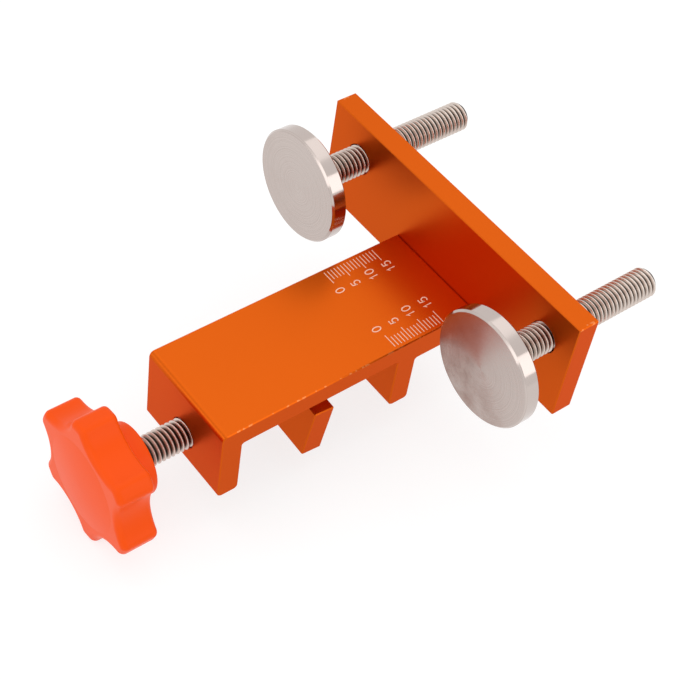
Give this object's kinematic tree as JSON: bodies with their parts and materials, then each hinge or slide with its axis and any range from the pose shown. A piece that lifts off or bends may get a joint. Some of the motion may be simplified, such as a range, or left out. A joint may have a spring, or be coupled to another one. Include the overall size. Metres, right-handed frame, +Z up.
{
  "type": "cabinet door mounting jig",
  "caption": "Clamp-on jig for hanging cabinet doors: an E-shaped bar clamped on the door panel by a knob screw, with a cross plate that carries adjustable disc-ended stop screws.",
  "frame": {"origin": "on the bar's top face, at the bar's mid-width, above the clamping face of the rear leg", "axes": "+X along the bar from the knob to the cross plate, +Z up from the bar's top face"},
  "size_m": [0.1362, 0.0988, 0.058],
  "materials": {
    "orange_anodised": "satin anodised",
    "knob_plastic": "satin moulded",
    "stainless": "turned",
    "thread_steel": "bright"
  },
  "bodies": {
    "frame": {"bar": "orange_anodised", "cross_plate": "orange_anodised", "plate_screw_left": "thread_steel", "plate_screw_right": "thread_steel"},
    "jaw_carrier": {"jaw_washer": "thread_steel"},
    "clamp_spindle": {"clamp_screw": "thread_steel", "knob": "knob_plastic", "jaw_screw": "thread_steel"},
    "jaw_block": {"jaw": "orange_anodised"},
    "left_stop": {"left_stud": "thread_steel"},
    "left_stop_disc": {"left_disc": "stainless"},
    "right_stop": {"right_stud": "thread_steel"},
    "right_stop_disc": {"right_disc": "stainless"}
  },
  "joints": [
    {"name": "clamp_travel", "type": "slide", "parent": "frame", "child": "jaw_carrier", "axis": [1, 0, 0], "range_m": [-0.019, 0.0122]},
    {"name": "spindle_turn", "type": "hinge", "parent": "jaw_carrier", "child": "clamp_spindle", "pos_m": [-0.024, 0, -0.014], "axis": [1, 0, 0], "range_deg": [-5472, 3513.6]},
    {"name": "jaw_lean", "type": "hinge", "parent": "jaw_carrier", "child": "jaw_block", "pos_m": [-0.024, 0, -0.014], "axis": [0, 1, 0], "range_deg": [-11.8, 0]},
    {"name": "left_stop_travel", "type": "slide", "parent": "frame", "child": "left_stop", "axis": [1, 0, 0], "range_m": [-0.028, 0.015]},
    {"name": "left_disc_turn", "type": "hinge", "parent": "left_stop", "child": "left_stop_disc", "pos_m": [0.0033, 0.033, 0.011], "axis": [1, 0, 0], "range_deg": [-8064, 4320]},
    {"name": "right_stop_travel", "type": "slide", "parent": "frame", "child": "right_stop", "axis": [1, 0, 0], "range_m": [-0.028, 0.0144]},
    {"name": "right_disc_turn", "type": "hinge", "parent": "right_stop", "child": "right_stop_disc", "pos_m": [0.0039, -0.0364, 0.011], "axis": [1, 0, 0], "range_deg": [-8064, 4147.2]}
  ],
  "couplings": [
    {"joint": "clamp_travel", "follows": "spindle_turn", "m_per_rad": 0.00019894},
    {"joint": "left_stop_travel", "follows": "left_disc_turn", "m_per_rad": 0.00019894},
    {"joint": "right_stop_travel", "follows": "right_disc_turn", "m_per_rad": 0.00019894}
  ]
}
